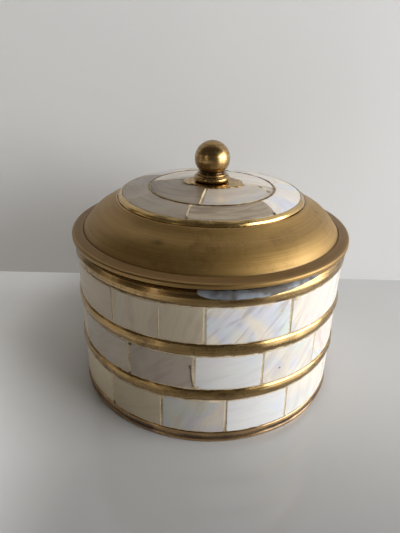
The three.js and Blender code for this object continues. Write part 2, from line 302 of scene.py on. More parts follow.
def turned(name: str, line: np.ndarray, closed: bool, uneven: Ripple | None = None,
           swell: Field | None = None, stain: Field | None = None) -> bpy.types.Object:
    """A turned piece: a profile carried round the axis, pushed out or in along its own normals.

    A point is (r, z) + n (u(a, d) + s(a, z)), turned through the angle a, where n is the profile's outward
    normal, d is the distance along it, u the unevenness and s the swell. A profile that reaches the axis is
    pushed less and less over its last 2 mm.

    Args:
        name: Name of the piece.
        line: Profile points, radius and height, with the material on their left.
        closed: Whether the profile closes on itself. If it doesn't, it starts and ends on the axis.
        uneven: Unevenness of the whole surface.
        swell: Extra push along the normals, from angle in radians and height in millimetres.
        stain: Strength of old stains and of painted shadow, from 0 to 1, over the same two.

    Returns:
        The new object, with the marks `hollow` and `stain`. It never dips below the profile's lowest point.
    """
    ahead = np.roll(line, -1, 0) if closed else np.vstack([line[1:], line[-1:]])
    behind = np.roll(line, 1, 0) if closed else np.vstack([line[:1], line[:-1]])
    tangent = ahead - behind
    tangent /= np.linalg.norm(tangent, axis=1, keepdims=True)
    along = np.concatenate([[0], np.cumsum(np.hypot(*np.diff(line, axis=0).T))])
    angle = np.linspace(0, 2 * np.pi, COLUMNS, endpoint=False)[None, :]
    push = np.zeros((len(line), COLUMNS))
    if uneven is not None:
        push = push + uneven.height(angle, along[:, None])
    if swell is not None:
        push = push + swell(angle, line[:, 1:2])
    if not closed:
        push *= np.clip(line[:, :1] / 2, 0, 1)
    radius = line[:, :1] + tangent[:, 1:2] * push
    height = np.maximum(line[:, 1:2] - tangent[:, :1] * push, line[:, 1].min())
    grid = around(np.maximum(radius, 0), angle, height)
    marks = {"hollow": hollowness(line, closed)[:, None] - np.minimum(push, 0)}
    if stain is not None:
        marks["stain"] = np.broadcast_to(stain(angle, line[:, 1:2]), push.shape)
    if closed:
        return surface(name, grid, Ends.RING, marks)
    return surface(name, grid[1:-1], Ends.POLES, {mark: values[1:-1] for mark, values in marks.items()})


# ---- inlaid pieces ---------------------------------------------------------------------------------------
@dataclass(frozen=True)
class Bed:
    """A four-sided place for an inlaid piece: s runs from -1 to 1 across it and t from -1 to 1 up it."""

    half_width: float
    half_height: float
    place: Callable[[np.ndarray, np.ndarray, np.ndarray], np.ndarray]  # s, t, depth below the face -> points


@dataclass(frozen=True)
class Grain:
    """How one tile of shell was cut: the run of its layers and its cast."""

    lean: float  # degrees that the growth lines lean
    streaks: float  # strength of the growth lines, 0 to 1
    warmth: float  # -1 is cool and bluish, 1 is creamy
    clouds: float = 0.5  # strength of the coloured clouds, 0 to 1
    depth: float = 0.0  # share of darker brown, 0 to 1: partly the deeper shell near the outside, partly painted shade on tiles away from the light


@dataclass(frozen=True)
class Cut:
    """How an inlaid piece is cut and eased."""

    thickness: float
    easing: float  # rounding of the front edge
    corner: float  # rounding of the corners, seen from the front
    raggedness: float  # unevenness of the outline
    bow: float  # unevenness of the face
    points: int = 260


def outline(bed: Bed, cut: Cut, rng: np.random.Generator) -> tuple[np.ndarray, np.ndarray]:
    """Outline of an inlaid piece in its bed: a rectangle with rounded corners, pulled in unevenly.

    The corners follow |x|^p + |y|^p = 1 in a square of the corner's size, with p = 2, a quarter circle.

    Args:
        bed: Where the piece goes.
        cut: How it is cut.
        rng: Source of the unevenness.

    Returns:
        s and t of each point of the outline.
    """
    hw, hh = bed.half_width, bed.half_height
    corner = min(cut.corner, 0.8 * hw, 0.8 * hh)
    quarter = np.linspace(0, np.pi / 2, 9)
    x = np.concatenate([hw - corner + corner * np.cos(quarter), -hw + corner - corner * np.sin(quarter)])
    y = np.concatenate([hh - corner + corner * np.sin(quarter), hh - corner + corner * np.cos(quarter)])
    x, y = np.concatenate([x, -x]), np.concatenate([y, -y])
    along = np.concatenate([[0], np.cumsum(np.hypot(np.diff(x, append=x[0]), np.diff(y, append=y[0])))])
    even = np.linspace(0, along[-1], cut.points, endpoint=False)
    x = np.interp(even, along, np.append(x, x[0]))
    y = np.interp(even, along, np.append(y, y[0]))
    turn = even / along[-1] * 2 * np.pi
    terms, shortest = 18, 1.1  # how many cosines the unevenness has, and its shortest wave
    waves = rng.integers(3, max(6, int(along[-1] / shortest)), terms)
    pull = np.cos(turn[:, None] * waves + rng.uniform(0, 2 * np.pi, terms)).sum(1) / 6
    pull = cut.raggedness * np.where(pull > 0, pull, 0.35 * pull)  # further in than out
    return (x / hw) * (1 - pull / hw), (y / hh) * (1 - pull / hh)


def inlay(name: str, bed: Bed, cut: Cut, seed: int, grain: Grain | None = None) -> bpy.types.Object:
    """A thin inlaid piece: loops of its outline, stacked from the back over the eased edge to the face.

    A loop at inset i and depth d holds the points place(s (1 - i / w), t (1 - i / h), d), and the loops of
    the face are the outline drawn together towards its middle. The easing is a quarter circle. The face is
    tilted and bowed a little by a plane and four cosines.

    Args:
        name: Name of the piece.
        bed: Where it goes.
        cut: How it is cut.
        seed: Seed of its unevenness.
        grain: The run of its layers, for shell.

    Returns:
        The new object, with the marks `edge`, `nacre`, `cast` and `depth`.
    """
    rng = np.random.default_rng(seed)
    s, t = outline(bed, cut, rng)
    quarter = np.linspace(0, np.pi / 2, 5)
    inset = np.concatenate([[0.5, 0.1, 0], cut.easing * (1 - np.cos(quarter))])
    depth = np.concatenate([[cut.thickness, cut.thickness, cut.thickness - 0.1],
                            cut.easing * (1 - np.sin(quarter))])
    shrink_s = 1 - inset / bed.half_width
    shrink_t = 1 - inset / bed.half_height
    face = np.array([0.985, 0.96, 0.92, 0.86, 0.78, 0.68, 0.56, 0.42, 0.27, 0.12])  # closer near the edge
    back = 0.3  # the first loop, in the middle of the back
    shrink_s = np.concatenate([[back], shrink_s, face * shrink_s[-1]])[:, None]
    shrink_t = np.concatenate([[back], shrink_t, face * shrink_t[-1]])[:, None]
    depth = np.concatenate([[cut.thickness], depth, np.zeros(len(face))])[:, None]
    across, up = s * np.maximum(shrink_s, 0.02), t * np.maximum(shrink_t, 0.02)
    tilt = rng.uniform(-1, 1, 3) * cut.bow
    waves = rng.uniform(0.8, 2.4, (4, 2)) * rng.choice([-1, 1], (4, 2))
    phases = rng.uniform(0, 2 * np.pi, 4)
    swell = np.cos(across[..., None] * waves[:, 0] + up[..., None] * waves[:, 1] + phases).sum(-1) / 4
    lift = tilt[0] * across + tilt[1] * up + 0.6 * tilt[2] + 0.6 * cut.bow * swell
    front = np.clip(1 - depth / cut.thickness, 0, 1)
    points = bed.place(across, up, depth - lift * front)
    x, y = across * bed.half_width, up * bed.half_height
    edge = np.minimum(bed.half_width - np.abs(x), bed.half_height - np.abs(y))
    marks = {"edge": np.where(depth > cut.easing, 0, edge)}
    if grain is not None:
        lean = math.radians(grain.lean)
        run = np.stack([
            x * math.cos(lean) + y * math.sin(lean),
            y * math.cos(lean) - x * math.sin(lean),
            np.zeros(x.shape),
        ], axis=-1)
        marks["nacre"] = run + rng.uniform(-200, 200, 3)
        marks["cast"] = np.broadcast_to(np.array([grain.streaks, grain.warmth, grain.clouds]), x.shape + (3,))
        marks["depth"] = np.full(x.shape, grain.depth)
    return surface(name, points, Ends.POLES, marks)


# ---- finishes --------------------------------------------------------------------------------------------
class Graph:
    """A material's nodes, written as nested calls."""

    def __init__(self, name: str) -> None:
        """Starts an empty material with one shader."""
        self.material = bpy.data.materials.new(name)
        self.material.use_nodes = True
        self.tree = self.material.node_tree
        self.tree.nodes.clear()
        self.shader = self.tree.nodes.new("ShaderNodeBsdfPrincipled")
        output = self.tree.nodes.new("ShaderNodeOutputMaterial")
        self.tree.links.new(self.shader.outputs[0], output.inputs["Surface"])

    def node(self, kind: str, inputs: dict[str | int, object], out: str | int = 0,
             **settings: object) -> bpy.types.NodeSocket:
        """Adds a node.

        Args:
            kind: The node's type, without the leading ShaderNode.
            inputs: Values or sockets for its inputs, by name or number.
            out: The output wanted.
            settings: The node's own properties.

        Returns:
            The output socket.
        """
        made = self.tree.nodes.new("ShaderNode" + kind)
        for key, value in settings.items():
            setattr(made, key, value)
        for key, value in inputs.items():
            self.feed(made.inputs[key], value)
        return made.outputs[out]

    def feed(self, socket: bpy.types.NodeSocket, value: object) -> None:
        """Gives an input a value, or links another socket to it."""
        if isinstance(value, bpy.types.NodeSocket):
            self.tree.links.new(value, socket)
        elif socket.type == "RGBA" and len(value) == 3:
            socket.default_value = (*value, 1)
        else:
            socket.default_value = value

    def math(self, operation: str, *values: object) -> bpy.types.NodeSocket:
        """Arithmetic on numbers."""
        return self.node("Math", dict(enumerate(values)), operation=operation)

    def spread(self, value: bpy.types.NodeSocket, low: float, high: float,
               to_low: float = 0, to_high: float = 1) -> bpy.types.NodeSocket:
        """Stretches the stretch from low to high over to_low to to_high, smoothly and held at both ends."""
        inputs = {"Value": value, "From Min": low, "From Max": high, "To Min": to_low, "To Max": to_high}
        return self.node("MapRange", inputs, interpolation_type="SMOOTHSTEP")

    def blend(self, share: object, first: object, second: object, how: str = "MIX") -> bpy.types.NodeSocket:
        """Mixes two colours by a share from 0 to 1."""
        return self.node("Mix", {0: share, 6: first, 7: second}, out=2, data_type="RGBA", blend_type=how)

    def noise(self, where: object, scale: float, detail: float = 3, roughness: float = 0.5,
              distortion: float = 0) -> bpy.types.NodeSocket:
        """Cloud noise from 0 to 1."""
        return self.node("TexNoise", {
            "Vector": where,
            "Scale": scale,
            "Detail": detail,
            "Roughness": roughness,
            "Distortion": distortion,
        })

    def ramp(self, value: object, stops: list[tuple[float, Colour]]) -> bpy.types.NodeSocket:
        """A colour for a number, from (place, colour) stops in rising order."""
        made = self.tree.nodes.new("ShaderNodeValToRGB")
        elements = made.color_ramp.elements
        for element, (place, colour) in zip((elements[0], elements[1]), (stops[0], stops[-1])):
            element.position, element.color = place, (*colour, 1)
        for place, colour in stops[1:-1]:
            elements.new(place).color = (*colour, 1)
        self.feed(made.inputs[0], value)
        return made.outputs[0]

    def mark(self, name: str, out: str = "Fac") -> bpy.types.NodeSocket:
        """A value kept on the mesh."""
        return self.node("Attribute", {}, out=out, attribute_name=name)

    def place(self) -> bpy.types.NodeSocket:
        """The point's own place on the object, in metres."""
        return self.node("TexCoord", {}, out="Object")

    def bump(self, height: object, distance: float, strength: float = 1,
             onto: object | None = None) -> bpy.types.NodeSocket:
        """A bumped normal. The distance is in millimetres."""
        inputs = {"Height": height, "Distance": distance * MM, "Strength": strength}
        if onto is not None:
            inputs["Normal"] = onto
        return self.node("Bump", inputs)

    def shade(self, **inputs: object) -> bpy.types.Material:
        """Feeds the shader's inputs, named in lower case with underscores, and returns the material."""
        for key, value in inputs.items():
            self.feed(self.shader.inputs[key.replace("_", " ").title().replace("Ior", "IOR")], value)
        return self.material


@dataclass(frozen=True)
class TurnedBrass:
    """Aged brass off the lathe: turning marks, darker hollows, worn edges and blotches of tarnish."""

    name: str
    bright: Colour
    dull: Colour
    tarnish: Colour
    gloss: float  # roughness where it is bright
    matt: float  # roughness where it is dull
    marks_per_mm: float = 6.0
    marks: float = 0.006  # depth of the turning marks in millimetres
    tarnished: float = 0.5  # share of the surface
    grime: float = 0.8  # darkness of the hollows, 0 to 1
    rim: float = 100.0  # radius in millimetres beyond which the tarnish lies thicker
    lacquer: float = 0.0  # weight of the clear coat
    lacquer_roughness: float = 0.08

    def build(self) -> bpy.types.Material:
        """Builds the material.

        The turning marks are noise over (radius, height), so they run round the axis. The tarnish is cloud
        noise and lies thicker outside the rim's radius. Grime gathers where the mark `hollow` is above 0. The
        mark `stain` darkens real stains and, on the mouth band, paints the shadow under the lid. Edges, where
        `hollow` is below 0, are bright and smooth.

        Returns:
            The material.
        """
        g = Graph(self.name)
        place = g.place()
        apart = g.node("SeparateXYZ", {"Vector": place})
        x, y, z = (apart.node.outputs[k] for k in range(3))
        radius = g.math("SQRT", g.math("ADD", g.math("MULTIPLY", x, x), g.math("MULTIPLY", y, y)))
        drift = g.noise(place, 45, 2)
        per_metre = self.marks_per_mm / MM
        rings = g.node("CombineXYZ", {
            0: g.math("MULTIPLY", radius, per_metre),
            1: g.math("MULTIPLY", z, per_metre),
            2: g.math("MULTIPLY", drift, 7.0),
        })
        fine = g.noise(rings, 1.0, 2, 0.6)
        broad = g.noise(rings, 0.22, 2, 0.5)
        cloud = g.noise(place, 70, 5, 0.6, 0.4)
        mottle = g.noise(place, 420, 4, 0.65)
        hollow = g.mark("hollow")
        grime = g.spread(hollow, 0.02, 0.22)
        worn = g.spread(hollow, -0.12, -0.02, 1, 0)
        share = g.spread(g.math("ADD", g.math("MULTIPLY", cloud, 0.7), g.math("MULTIPLY", mottle, 0.3)),
                         0.62 - 0.35 * self.tarnished, 0.82 - 0.25 * self.tarnished)
        dulled = g.blend(g.spread(broad, 0.3, 0.7), self.dull, self.bright)
        coloured = g.blend(share, dulled, self.tarnish)
        outside = g.spread(radius, (self.rim - 0.5) * MM, (self.rim + 0.3) * MM, 0, 0.9)
        coloured = g.blend(outside, coloured, self.tarnish)
        coloured = g.blend(g.math("MULTIPLY", worn, 0.55), coloured, self.bright)
        black, brown = (tuple(share * c for c in self.tarnish) for share in (0.22, 0.3))
        coloured = g.blend(g.math("MULTIPLY", grime, self.grime), coloured, black)
        # real stains, and the painted shadow under the lid on the mouth band
        coloured = g.blend(g.mark("stain"), coloured, brown)
        streaked = g.blend(g.spread(fine, 0.35, 0.75, 0.0, 0.35), coloured, self.dull, "MULTIPLY")
        rough = g.spread(g.math("ADD", g.math("MULTIPLY", share, 0.6), g.math("MULTIPLY", mottle, 0.6)),
                         0.1, 0.95, self.gloss, self.matt)
        rough = g.math("MULTIPLY", rough, g.spread(hollow, -0.4, -0.2, 0.5, 1))
        height = g.math("ADD", fine, g.math("MULTIPLY", broad, 1.4))
        normal = g.bump(mottle, 0.03, 0.25, g.bump(height, self.marks, 0.8))
        return g.shade(base_color=streaked, metallic=1.0, roughness=rough, normal=normal, coat_ior=1.9,
                       coat_weight=self.lacquer, coat_roughness=self.lacquer_roughness)


@dataclass(frozen=True)
class Shell:
    """Polished mother-of-pearl: milky layers, drifting growth lines and pale clouds of colour."""

    name: str = "mother_of_pearl"
    milk: Colour = (0.69, 0.64, 0.565)
    cream: Colour = (0.66, 0.565, 0.39)
    cool: Colour = (0.62, 0.66, 0.71)
    line: Colour = (0.62, 0.54, 0.52)  # what the growth lines let through of the colour under them
    stain: Colour = (0.36, 0.275, 0.165)
    # darker brown of the deeper shell, also used as painted shade
    deep: Colour = (0.152, 0.105, 0.062)

    def build(self) -> bpy.types.Material:
        """Builds the material.

        The mark `nacre` carries the pattern's own millimetres, turned to the run of each tile's layers, and
        `cast` carries the strength of its lines, its warmth and the strength of its clouds. `depth` is the
        share of the deep shell's darker brown, partly the shell's own tone and partly painted shade on tiles
        away from the light, and `edge` the distance from the tile's rim, which is stained.

        Returns:
            The material.
        """
        g = Graph(self.name)
        where = g.mark("nacre", "Vector")
        cast = g.node("SeparateXYZ", {"Vector": g.mark("cast", "Vector")})
        streaks, warmth, clouds = (cast.node.outputs[k] for k in range(3))
        flow = g.node("Mapping", {"Vector": where, "Scale": (0.07, 0.38, 1.0)})
        bands = g.noise(flow, 1.0, 3, 0.5, 0.7)
        fine = g.noise(g.node("Mapping", {"Vector": where, "Scale": (0.09, 1.5, 1.0)}), 1.0, 3, 0.55, 0.4)
        cloud = g.noise(where, 0.1, 1.5, 0.45, 0.4)
        tint = g.noise(where, 0.075, 1.5, 0.45, 0.6)
        play = g.ramp(tint, [
            (0.34, (0.72, 0.61, 0.58)),
            (0.45, (0.75, 0.69, 0.57)),
            (0.56, (0.58, 0.59, 0.70)),
            (0.68, (0.58, 0.67, 0.62)),
        ])
        base = g.blend(g.spread(cloud, 0.32, 0.54), self.milk, play)
        base = g.blend(clouds, self.milk, base)
        base = g.blend(g.spread(warmth, 0, 1, 0, 0.9), base, self.cream)
        base = g.blend(g.spread(g.math("MULTIPLY", warmth, -1.0), 0, 1, 0, 0.6), base, self.cool)
        # share of darker brown: partly the shell's deeper layers, partly painted shade on tiles away from the
        # light
        deep_tone_and_shade = g.math("MULTIPLY", g.mark("depth"), g.spread(cloud, 0.2, 0.6, 1, 0.85))
        base = g.blend(deep_tone_and_shade, base, self.deep)
        lined = g.math("MULTIPLY", g.spread(bands, 0.46, 0.66), streaks)
        base = g.blend(g.math("MULTIPLY", lined, 0.8), base, self.line, "MULTIPLY")
        hair = g.math("MULTIPLY", g.spread(fine, 0.5, 0.75), streaks)
        base = g.blend(g.math("MULTIPLY", hair, 0.5), base, self.line, "MULTIPLY")
        ragged = g.math("ADD", g.mark("edge"), g.math("MULTIPLY", g.noise(g.place(), 900, 3), -0.5))
        rim = g.spread(ragged, -0.35, -0.05, 0.45, 0)
        base = g.blend(rim, base, self.stain)
        rough = g.spread(g.math("ADD", bands, g.math("MULTIPLY", rim, 0.5)), 0.3, 1.1, 0.38, 0.55)
        normal = g.bump(bands, 0.05, 0.2)
        return g.shade(base_color=base, roughness=rough, normal=normal, subsurface_weight=0.12,
                       subsurface_scale=0.9 * MM, subsurface_radius=(1.0, 0.85, 0.7), ior=1.6,
                       coat_weight=0.32, coat_roughness=0.12)


@dataclass(frozen=True)
class Mastic:
    """Aged filler: cream to brown, matt and slightly crumbly."""

    name: str
    pale: Colour
    dark: Colour
    darkness: float = 0.5

    def build(self) -> bpy.types.Material:
        """Builds the material from two scales of cloud noise."""
        g = Graph(self.name)
        place = g.place()
        cloud = g.noise(place, 160, 4, 0.6)
        crumb = g.noise(place, 1500, 4, 0.7)
        mixed = g.math("ADD", g.math("MULTIPLY", cloud, 0.75), g.math("MULTIPLY", crumb, 0.25))
        low = 0.62 - 0.4 * self.darkness
        base = g.blend(g.spread(mixed, low, low + 0.22), self.pale, self.dark)
        return g.shade(base_color=base, roughness=g.spread(crumb, 0.2, 0.8, 0.55, 0.85),
                       normal=g.bump(crumb, 0.08, 0.7))


@dataclass(frozen=True)
class Solder:
    """Grey solder with a bluish skin."""

    name: str = "solder"

    def build(self) -> bpy.types.Material:
        """Builds the material from cloud noise."""
        g = Graph(self.name)
        place = g.place()
        cloud = g.noise(place, 140, 3, 0.5)
        base = g.ramp(cloud, [
            (0.4, (0.085, 0.075, 0.065)),
            (0.5, (0.19, 0.205, 0.23)),
            (0.6, (0.28, 0.305, 0.33)),
        ])
        return g.shade(base_color=base, metallic=0.6, roughness=g.spread(cloud, 0.35, 0.65, 0.58, 0.46),
                       normal=g.bump(g.noise(place, 500, 2), 0.04, 0.3))


@dataclass(frozen=True)
class Paint:
    """A coat for the table or the wall, with painted shade away from the light and painted light at the left
    of the box.
    """

    name: str
    colour: Colour
    roughness: float
    fade: float = 0.0  # painted shade: how much darker it is far to the left, away from the light
    near: float = 0.0  # painted shade: how much darker it is in front of the box
    left: float = 0.0  # painted light: how much paler it is at the left of the box, where the box's shadow falls
    one_sided: bool = False  # seen from the front only

    def build(self) -> bpy.types.Material:
        """Builds the material from faint cloud noise and three fades of painted light and shade, whose ends
        are X or Y in metres.
        """
        g = Graph(self.name)
        place = g.place()
        black, white = (0.0, 0.0, 0.0), (1.0, 1.0, 1.0)
        shade = g.noise(place, 9, 3)
        base = g.blend(g.spread(shade, 0.3, 0.7, 0, 0.12), self.colour, tuple(0.8 * c for c in self.colour))
        across = g.node("SeparateXYZ", {"Vector": place})
        deep = across.node.outputs["Y"]
        # painted shade far to the left and in front of the box, then painted light at the left of the box
        base = g.blend(g.spread(across, -0.3, -0.15, self.fade, 0), base, black)
        base = g.blend(g.spread(deep, -0.11, 0.0, self.near, 0), base, black)
        base = g.blend(g.spread(across, -0.09, -0.03, self.left, 0), base, white)
        made = g.shade(base_color=base, roughness=self.roughness)
        if self.one_sided:
            clear = g.node("BsdfTransparent", {})
            back = g.node("NewGeometry", {}, out="Backfacing")
            both = g.node("MixShader", {0: back, 1: g.shader.outputs[0], 2: clear})
            output = next(n for n in g.tree.nodes if n.type == "OUTPUT_MATERIAL")
            g.tree.links.new(both, output.inputs["Surface"])
        return made


class Finishes:
    """Every finish on the box, built once."""

    def __init__(self) -> None:
        """Builds the materials."""
        self.dome = TurnedBrass(
            "satin_brass", (0.42, 0.265, 0.09), (0.39, 0.24, 0.073), (0.22, 0.122, 0.035), 0.5, 0.62,
            marks_per_mm=5, marks=0.0012, tarnished=0.25, grime=0.4, rim=41.6, lacquer=0.18,
            lacquer_roughness=0.36,
        ).build()
        self.band = TurnedBrass(
            "band_brass", (0.45, 0.295, 0.11), (0.245, 0.147, 0.052), (0.11, 0.06, 0.022), 0.23, 0.36,
            marks_per_mm=7, marks=0.003, tarnished=0.5, lacquer=0.2,
        ).build()
        self.foot = TurnedBrass(
            "foot_brass", (0.64, 0.41, 0.19), (0.24, 0.145, 0.08), (0.10, 0.058, 0.036), 0.22, 0.4,
            marks_per_mm=7, tarnished=0.7, lacquer=0.2,
        ).build()
        self.inside = TurnedBrass(
            "inside_brass", (0.60, 0.45, 0.24), (0.46, 0.33, 0.17), (0.25, 0.17, 0.09), 0.32, 0.6,
            marks_per_mm=4, marks=0.008, tarnished=0.7,
        ).build()
        self.bright = TurnedBrass(
            "bright_brass", (0.64, 0.44, 0.165), (0.44, 0.28, 0.09), (0.24, 0.135, 0.042), 0.2, 0.38,
            marks_per_mm=8, marks=0.002, tarnished=0.4, lacquer=0.3,
        ).build()
        self.wire = TurnedBrass(
            "wire_brass", (0.34, 0.235, 0.11), (0.22, 0.14, 0.06), (0.11, 0.065, 0.03), 0.3, 0.5,
            marks_per_mm=8, marks=0.004, tarnished=0.6,
        ).build()
        self.knob = TurnedBrass(
            "knob_brass", (0.47, 0.31, 0.12), (0.31, 0.19, 0.065), (0.17, 0.095, 0.032), 0.26, 0.38,
            marks_per_mm=8, marks=0.002, tarnished=0.4, lacquer=0.2, lacquer_roughness=0.2,
        ).build()
        self.shell = Shell().build()
        self.filler = Mastic("mastic", (0.72, 0.61, 0.40), (0.38, 0.27, 0.13), 0.4).build()
        self.grout = Mastic("joint_mastic", (0.62, 0.515, 0.35), (0.36, 0.265, 0.145), 0.45).build()
        self.dirt = Mastic("old_dirt", (0.12, 0.085, 0.05), (0.035, 0.025, 0.018), 0.5).build()
        self.solder = Solder().build()


@dataclass
class Workshop:
    """Puts finished pieces on the frame's bodies and keeps count of them."""

    finishes: Finishes
    body: str
    count: int = 0

    def fit(self, piece: bpy.types.Object, finish: bpy.types.Material, slot: str, *nodes: str) -> None:
        """Dresses a piece and fixes it to the body.

        Args:
            piece: The piece.
            finish: Its material.
            slot: A material slot's name; not used.
            nodes: Nodes of the frame that it stands for.
        """
        piece.data.materials.append(finish)
        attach(piece, self.body)
        if nodes:
            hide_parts(*nodes)
        self.count += 1
        log.info("%s: %s, %d faces", self.body, piece.name, len(piece.data.polygons))


# ---- the box ---------------------------------------------------------------------------------------------
@dataclass
class BoxBody:
    """The cup, its bands and the three rows of tiles."""

    shop: Workshop
    face: float = field(default_factory=lambda: node_radii("upper_tile_01")[1])
    proud: float = field(default_factory=lambda: node_radii("upper_band")[1])
    cup_wall: float = 0.9  # thickness of the cup's wall
    cup_floor: float = 1.2  # thickness of its floor
    tile_cut: Cut = Cut(thickness=1.5, easing=0.16, corner=0.35, raggedness=0.14, bow=0.05)
    # The run of the layers in the tiles at the front. The others are drawn at random. Their last number,
    # the share of darker brown, is partly painted shade on the tiles at the left and the front.
    grains: dict[str, Grain] = field(default_factory=lambda: {
        "upper_tile_11": Grain(5, 0.15, 1.0, 0.3, 0.55),
        "upper_tile_01": Grain(78, 0.35, 0.7, 0.55, 0.45),
        "upper_tile_02": Grain(48, 0.8, -0.1, 0.8, 0.0),
        "upper_tile_03": Grain(60, 0.4, -0.15, 0.6),
        "middle_tile_12": Grain(10, 0.2, 0.7, 0.6, 0.2),
        "middle_tile_01": Grain(20, 0.35, 0.5, 1.0, 0.55),
        "middle_tile_02": Grain(40, 0.4, -0.05, 0.5, 0.75),
        "middle_tile_03": Grain(15, 0.2, -0.8, 1.0),
        "middle_tile_04": Grain(50, 0.4, -0.1, 0.6),
        "lower_tile_13": Grain(12, 0.15, 1.0, 0.3, 0.1),
        "lower_tile_01": Grain(25, 0.25, 1.0, 0.4, 0.4),
        "lower_tile_02": Grain(70, 0.3, 0.1, 0.8, 0.4),
        "lower_tile_03": Grain(10, 0.15, -0.8, 0.6),
        "lower_tile_04": Grain(80, 0.25, 0.0, 0.4),
    })

    def build(self) -> None:
        """Makes every piece of the box."""
        self.add_cup()
        self.add_foot()
        self.add_bands()
        self.add_mouth()
        self.add_mastic()
        self.add_tiles()
        self.add_flaws()
        self.add_solder()

    def add_cup(self) -> None:
        """The spun cup: a flat floor with a rounded corner, a straight wall and a softened rim."""
        low, high = node_heights("inner_cup")
        outer = node_radii("inner_cup")[1]
        bore, floor = outer - self.cup_wall, low + self.cup_floor
        line = rounded_line([
            (0, low, 0), (outer, low, 0.8), (outer, high, 0.3),
            (bore, high, 0.35), (bore, floor, 1.6), (0, floor, 0),
        ], closed=False, step=1.0)
        self.shop.fit(turned("cup", line, False, Ripple(0.03, 9, 12, 3)), self.shop.finishes.inside,
                      "satin_brass", "inner_cup")

    def add_foot(self) -> None:
        """The foot ring: a slightly swollen band with a proud lip at its lower edge."""
        low, high = node_heights("foot_ring")
        inner, outer = node_radii("foot_ring")
        line = rounded_line([
            (inner, low, 0.2), (outer - 0.1, low, 0.4), (outer + 0.15, low + 0.9, 0.5),
            (outer - 0.12, low + 1.5, 0.4), (outer, high - 0.9, 0.5), (outer - 0.15, high, 0.25),
            (inner, high, 0.2),
        ], closed=True, step=0.35)
        self.shop.fit(turned("foot", line, True, Ripple(0.05, 14, 6, 5)), self.shop.finishes.foot,
                      "satin_brass", "foot_ring")

    def add_bands(self) -> None:
        """The two bands between the rows: shallow arcs with hand-filed edges."""
        for seed, node in enumerate(("lower_band", "upper_band")):
            low, high = node_heights(node)
            inner = node_radii(node)[0]
            middle, half = (low + high) / 2, (high - low) / 2
            corners = [
                (inner, low, 0.2), (self.face - 0.02, low, 0.1), (self.proud - 0.08, low + 0.5, 0.6),
                (self.proud + 0.3, middle, 3.0), (self.proud - 0.08, high - 0.5, 0.6),
                (self.face - 0.02, high, 0.1), (inner, high, 0.2),
            ]

            def filed(angle: np.ndarray, height: np.ndarray, salt: int = seed) -> np.ndarray:
                """Wavy filing of the lower edge: a ripple that fades out at the band's middle."""
                edge = np.clip((middle - height) / half, 0, 1) ** 3
                return -edge * np.abs(Ripple(0.16, 70, 30, 20 + salt).height(angle, height))

            line = rounded_line(corners, closed=True, step=0.3)
            band = turned(node, line, True, Ripple(0.035, 44, 4, 7 + seed), filed)
            self.shop.fit(band, self.shop.finishes.band, "satin_brass", node)

    def mouth_side(self) -> list[tuple[float, float, float]]:
        """Corners of the mouth band's outside, upwards: a full bead that draws in towards the lid's seat."""
        low, high = node_heights("mouth_band")
        outer = node_radii("mouth_band")[1]
        return [
            (outer - 0.85, low, 0.3), (outer + 0.08, low + 0.9, 1.0), (outer + 0.12, low + 2.5, 1.6),
            (outer - 0.45, low + 4.0, 1.2), (outer - 1.5, high - 0.45, 0.5), (outer - 2.1, high, 0.25),
        ]

    def add_mouth(self) -> None:
        """The mouth band: a full bead with the flat seat of the lid on top, and painted shadow under the lid.
        """
        low, high = node_heights("mouth_band")
        inner = node_radii("mouth_band")[0]
        corners = [(inner, low, 0.2), *self.mouth_side(), (inner, high, 0.2)]
        line = rounded_line(corners, closed=True, step=0.3)

        def painted_lid_shadow(angle: np.ndarray, height: np.ndarray) -> np.ndarray:
            """Painted shadow in the corner under the lid: full at the top, gone 1.5 mm lower."""
            return 0.95 * np.clip((height - (high - 1.5)) / 0.7, 0, 1) + 0 * angle

        # the mark `stain` carries the painted shadow under the lid here
        band = turned("mouth_band", line, True, Ripple(0.028, 26, 5, 11), stain=painted_lid_shadow)
        self.shop.fit(band, self.shop.finishes.band, "satin_brass", "mouth_band")

    def add_mastic(self) -> None:
        """The coat of mastic, seen in the joints: a sleeve whose face is a little behind the tiles."""
        low, high = node_heights("mastic_sleeve")
        inner = node_radii("mastic_sleeve")[0]
        face = self.face - 0.04
        corners = [(inner, low, 0.1), (face, low, 0.1), (face, high, 0.1), (inner, high, 0.1)]
        line = rounded_line(corners, closed=True, step=0.4)
        coat = turned("mastic_coat", line, True, swell=crumbling(Ripple(0.09, 120, 2.2, 13, terms=24)))
        self.shop.fit(coat, self.shop.finishes.grout, "mastic", "mastic_sleeve")

    def wall_bed(self, low: float, high: float, bottom: float, top: float, sink: float = 0.0,
                 bend: Callable[[np.ndarray], np.ndarray] | None = None) -> Bed:
        """A place on the face of the wall, between two angles and two heights.

        Its points are around(R - sink - depth, a(s) + bend(t) / R, z(t)).

        Args:
            low: First angle in radians.
            high: Last angle in radians.
            bottom: Lowest height.
            top: Highest height.
            sink: How far the face lies below the tiles' face.
            bend: Sideways shift in millimetres for each t.

        Returns:
            The bed.
        """
        radius = self.face - sink

        def place(s: np.ndarray, t: np.ndarray, depth: np.ndarray) -> np.ndarray:
            """Points of the bed, in millimetres."""
            angle = (low + high) / 2 + s * (high - low) / 2
            if bend is not None:
                angle = angle + bend(t) / radius
            return around(radius - depth, angle, (bottom + top) / 2 + t * (top - bottom) / 2)

        return Bed(radius * (high - low) / 2, (top - bottom) / 2, place)

    def add_tiles(self) -> None:
        """The three rows of curved tiles, each over its node of the frame."""
        names = sorted(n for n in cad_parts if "_tile_" in n and not n.startswith("lid_"))
        over = 0.05  # how far a tile reaches under the bands
        for number, name in enumerate(names):
            rng = np.random.default_rng(100 + number)
            angles = tile_angles(node_points(name))
            bottom, top = node_heights(name)
            lean = rng.uniform(-0.12, 0.12)

